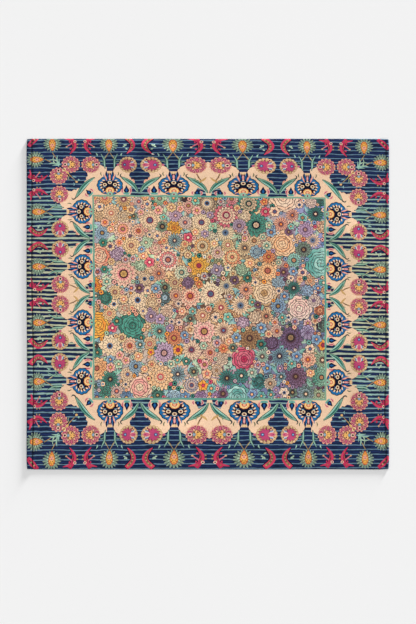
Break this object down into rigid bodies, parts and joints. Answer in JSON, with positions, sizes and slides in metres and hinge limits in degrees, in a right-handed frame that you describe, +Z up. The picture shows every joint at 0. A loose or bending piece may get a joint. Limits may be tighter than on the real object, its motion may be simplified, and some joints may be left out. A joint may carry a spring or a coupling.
{
  "type": "throw blanket",
  "caption": "Printed flannel fleece throw blanket, laid out flat, with turned and stitched side hems and soft low ridges.",
  "frame": {"origin": "centre of the cloth on the surface that it lies on, at the bottom of its bounding box", "axes": "+X along the long side, towards the narrower hem; +Y along the short side, from the bottom edge to the top edge; +Z up from the floor, out of the printed side"},
  "size_m": [1.52, 1.387, 0.0089],
  "materials": {
    "printed_fleece": "soft short-napped flannel fleece with a printed face"
  },
  "bodies": {
    "root": {"throw_cloth": "printed_fleece"}
  },
  "joints": []
}
